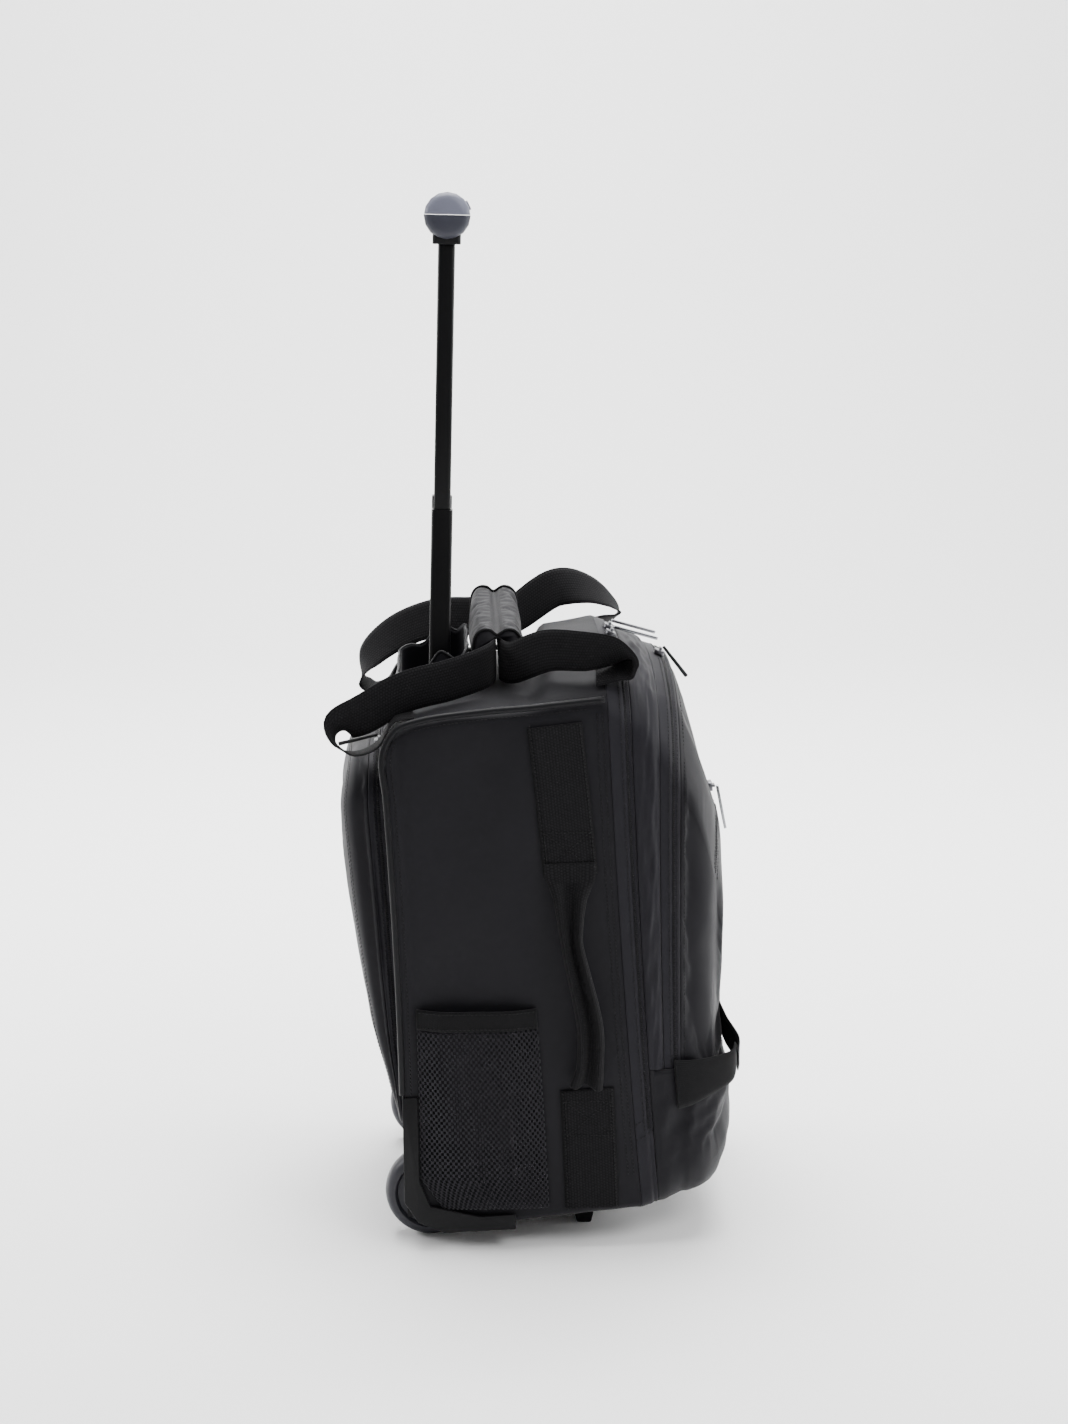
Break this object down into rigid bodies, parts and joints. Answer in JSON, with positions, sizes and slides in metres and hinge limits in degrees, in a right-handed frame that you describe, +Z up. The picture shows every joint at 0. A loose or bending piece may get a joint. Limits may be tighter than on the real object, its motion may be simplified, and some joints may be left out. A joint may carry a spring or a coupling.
{
  "type": "wheeled backpack",
  "caption": "Soft cabin-size backpack on two rear wheels, with a telescopic trolley handle, front compartments, side mesh pocket, stowed shoulder straps and webbing handles.",
  "frame": {"origin": "on the ground, under the middle of the bounding box with the trolley handle pulled out", "axes": "+Z up; +X across the bag, with the side handle and mesh pocket on the -X side; -Y towards the front pockets, +Y towards the wheels and trolley"},
  "size_m": [0.3668, 0.3684, 0.9323],
  "materials": {
    "fabric": "matt dark charcoal woven polyester with a soft sheen",
    "gusset_fabric": "matt black coated woven polyester",
    "webbing": "matt black coarse ribbed webbing",
    "mesh": "matt black knitted mesh",
    "tube": "semi-gloss black coated aluminium",
    "black_plastic": "matt black moulded plastic",
    "wheel": "smooth mid-grey moulded tread",
    "grip_light": "satin light grey moulded grip",
    "grip_dark": "satin dark grey moulded grip",
    "chrome": "polished plated metal",
    "steel": "plain bright metal",
    "cord": "matt black cord with a moulded end"
  },
  "bodies": {
    "bag": {"body_shell": "fabric", "front_pocket": "fabric", "lower_pocket": "fabric", "back_cover": "fabric", "handle_wrap": "fabric", "main_zip_band": "gusset_fabric", "mid_compartment": "gusset_fabric", "front_zip_band": "gusset_fabric", "back_gusset": "gusset_fabric", "piping_near": "gusset_fabric", "piping_far": "gusset_fabric", "handle_well": "gusset_fabric", "side_strip_upper": "webbing", "side_strip_lower": "webbing", "side_handle": "webbing", "pocket_binding": "webbing", "handle_strap_back": "webbing", "handle_strap_front": "webbing", "wing_near": "webbing", "wing_far": "webbing", "front_strap": "webbing", "mesh_pocket": "mesh", "channel_near": "tube", "channel_far": "tube", "guard_near": "black_plastic", "guard_far": "black_plastic", "wheel_housing_near": "black_plastic", "wheel_housing_far": "black_plastic", "foot_near": "black_plastic", "foot_far": "black_plastic", "front_buckle": "black_plastic", "main_zip_1_puller": "chrome", "main_zip_2_puller": "chrome", "pocket_zip_puller": "chrome", "axle_near": "steel", "axle_far": "steel", "main_zip_1_slider": "steel", "main_zip_2_slider": "steel", "mid_zip_slider": "steel", "pocket_zip_slider": "steel", "back_zip_slider": "steel", "mid_zip_puller": "cord", "back_zip_puller": "cord"},
    "lower_stage": {"tube_lower_near": "tube", "tube_lower_far": "tube"},
    "upper_stage": {"tube_upper_near": "tube", "tube_upper_far": "tube", "grip_upper": "grip_light", "grip_lower": "grip_dark", "grip_socket_near": "black_plastic", "grip_socket_far": "black_plastic"},
    "button": {"grip_button": "grip_light"},
    "near_wheel": {"wheel_near": "wheel"},
    "far_wheel": {"wheel_far": "wheel"}
  },
  "joints": [
    {"name": "lower_stage_slide", "type": "slide", "parent": "bag", "child": "lower_stage", "axis": [0, -0.0236, 0.9997], "range_m": [-0.175, 0]},
    {"name": "upper_stage_slide", "type": "slide", "parent": "lower_stage", "child": "upper_stage", "axis": [0, -0.0236, 0.9997], "range_m": [-0.22, 0]},
    {"name": "button_press", "type": "slide", "parent": "upper_stage", "child": "button", "axis": [0, 0.9014, -0.4329], "range_m": [0, 0.0024], "stiffness_N_per_m": 1500},
    {"name": "near_wheel_spin", "type": "hinge", "parent": "bag", "child": "near_wheel", "pos_m": [-0.11295, 0.09649, 0.041], "axis": [1, 0, 0], "continuous": true},
    {"name": "far_wheel_spin", "type": "hinge", "parent": "bag", "child": "far_wheel", "pos_m": [0.13105, 0.09649, 0.041], "axis": [1, 0, 0], "continuous": true}
  ]
}
